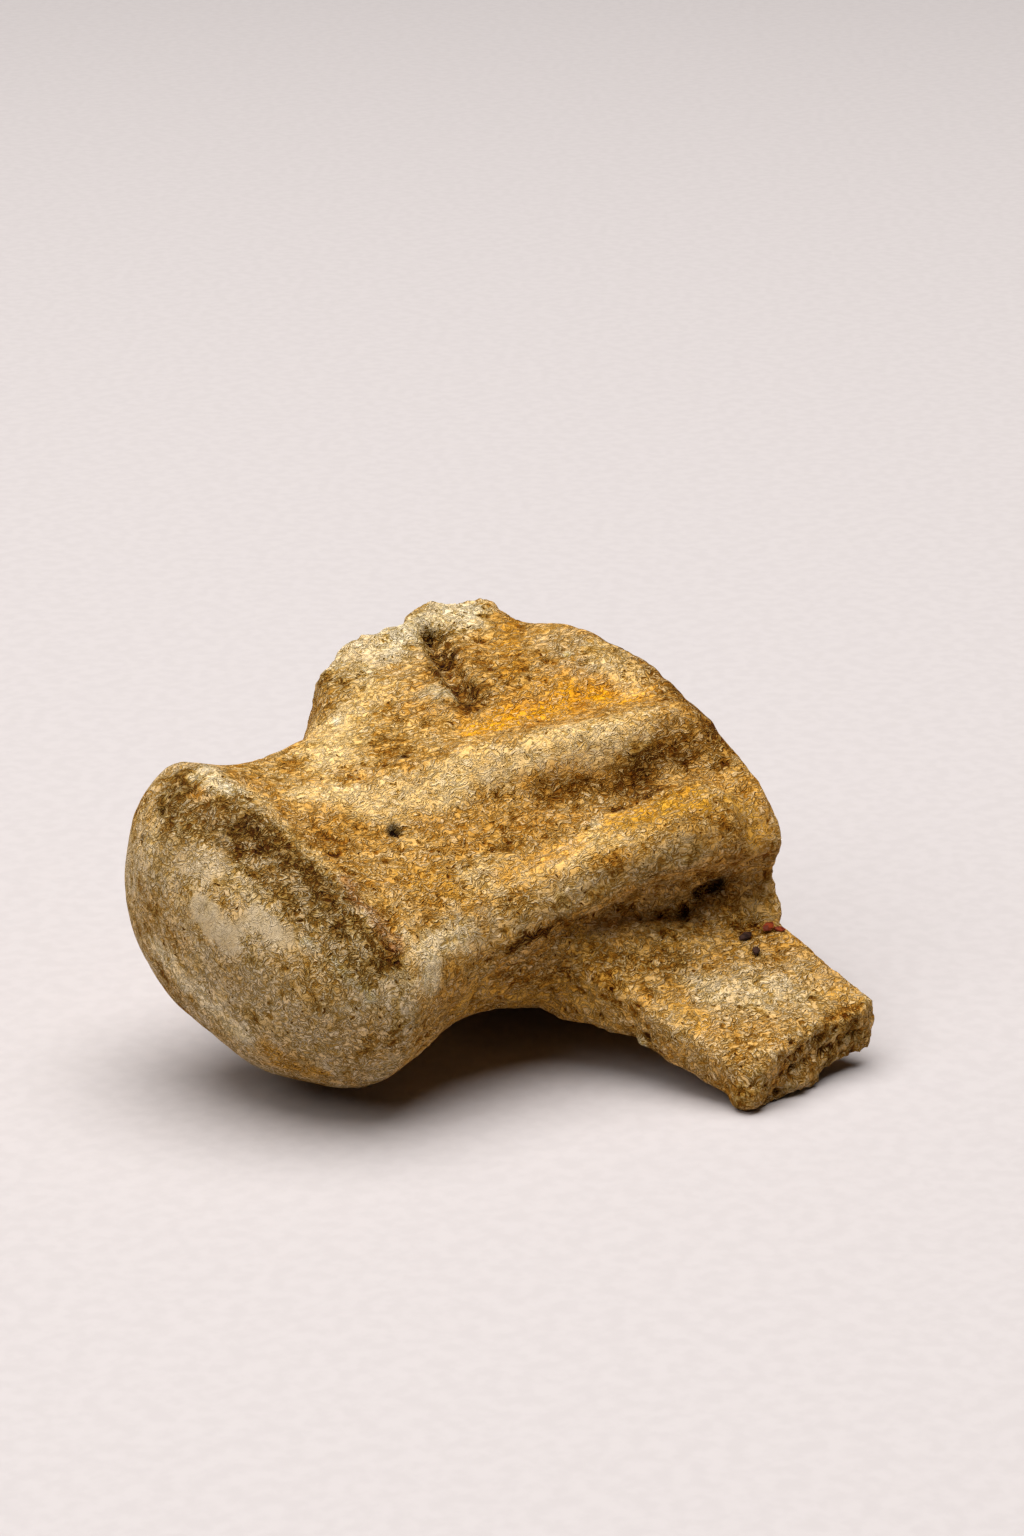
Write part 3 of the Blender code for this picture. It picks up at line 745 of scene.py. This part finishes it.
def looking(azimuth, elevation):
    """The direction back from the object to a viewer at these angles."""
    a, e = math.radians(azimuth), math.radians(elevation)
    return Vector((math.sin(a) * math.cos(e), -math.cos(a) * math.cos(e), math.sin(e)))


def add_camera():
    """The camera that takes the photo's view."""
    camera = bpy.data.objects.new("camera", bpy.data.cameras.new("camera"))
    bpy.context.scene.collection.objects.link(camera)
    camera.data.lens = CAMERA_LENS
    camera.data.sensor_width = CAMERA_SENSOR
    camera.data.clip_start = CLIP_START
    camera.data.clip_end = CLIP_END
    back = looking(CAMERA_AZIMUTH, CAMERA_ELEVATION)
    camera.location = CAMERA_AIM + back * CAMERA_DISTANCE
    camera.rotation_mode = "QUATERNION"
    camera.rotation_quaternion = (-back).to_track_quat("-Z", "Y")
    bpy.context.scene.camera = camera


# The lights: name, azimuth and elevation in degrees, distance and size in metres, and power in watts
LIGHTS = [
    ("overhead", CAMERA_AZIMUTH - 135, 84, 1.7, 2.2, 57),
    ("front_left", CAMERA_AZIMUTH - 50, 44, 1.2, 0.8, 4),
]
LIT_POINT = Vector((0, 0, 0.02))
ROOM_COLOUR = (1, 0.985, 0.975, 1)
ROOM_GLOW = 0.02

# The floor of pale paper: half its width in metres, how matt it is, its two shades, and how many clouds of
# the darker one lie in a metre
FLOOR_HALF = 4
PAPER_LIGHT = (196, 188, 186)
PAPER_DARK = (192, 184, 182)
PAPER_CLOUDS = 420.0
PAPER_ROUGHNESS = 0.9


def add_light(name, azimuth, elevation, distance, size, power):
    """A round soft light facing the bone."""
    lamp = bpy.data.lights.new(name, "AREA")
    lamp.shape = "DISK"
    lamp.size = size
    lamp.energy = power
    light = bpy.data.objects.new(name, lamp)
    back = looking(azimuth, elevation)
    light.location = LIT_POINT + back * distance
    light.rotation_mode = "QUATERNION"
    light.rotation_quaternion = (-back).to_track_quat("-Z", "Y")
    bpy.context.scene.collection.objects.link(light)


def add_stage():
    """A plain pale floor and a dim room, lit softly from above and a little from the left."""
    bm = bmesh.new()
    bmesh.ops.create_grid(bm, x_segments=1, y_segments=1, size=FLOOR_HALF)
    floor = add_piece(bm, "floor")
    material, start = new_finish("pale_paper")
    place = start.make("ShaderNodeTexCoord", {}, {}, 3)
    cloud = start.make("ShaderNodeTexNoise", {}, {"Vector": place, "Scale": PAPER_CLOUDS, "Detail": 4.0})
    paper = tuple(linear(PAPER_LIGHT)) + (1,)
    darker = tuple(linear(PAPER_DARK)) + (1,)
    facts = {"Base Color": mixed(cloud.step(0.35, 0.65), paper, darker), "Roughness": PAPER_ROUGHNESS}
    start.end(start.make("ShaderNodeBsdfPrincipled", {}, facts))
    floor.data.materials.append(material)
    for light in LIGHTS:
        add_light(*light)
    world = bpy.data.worlds.new("room")
    bpy.context.scene.world = world
    world.use_nodes = True
    glow = world.node_tree.nodes["Background"]
    glow.inputs[0].default_value = ROOM_COLOUR
    glow.inputs[1].default_value = ROOM_GLOW


add_camera()
add_bone(frame)
add_grains("red", RED_GRAINS, RED_STONE, roughness=0.5)
add_grains("dark", DARK_GRAINS, DARK_STONE, roughness=0.6)
add_stage()
bpy.context.scene.view_settings.view_transform = "Standard"
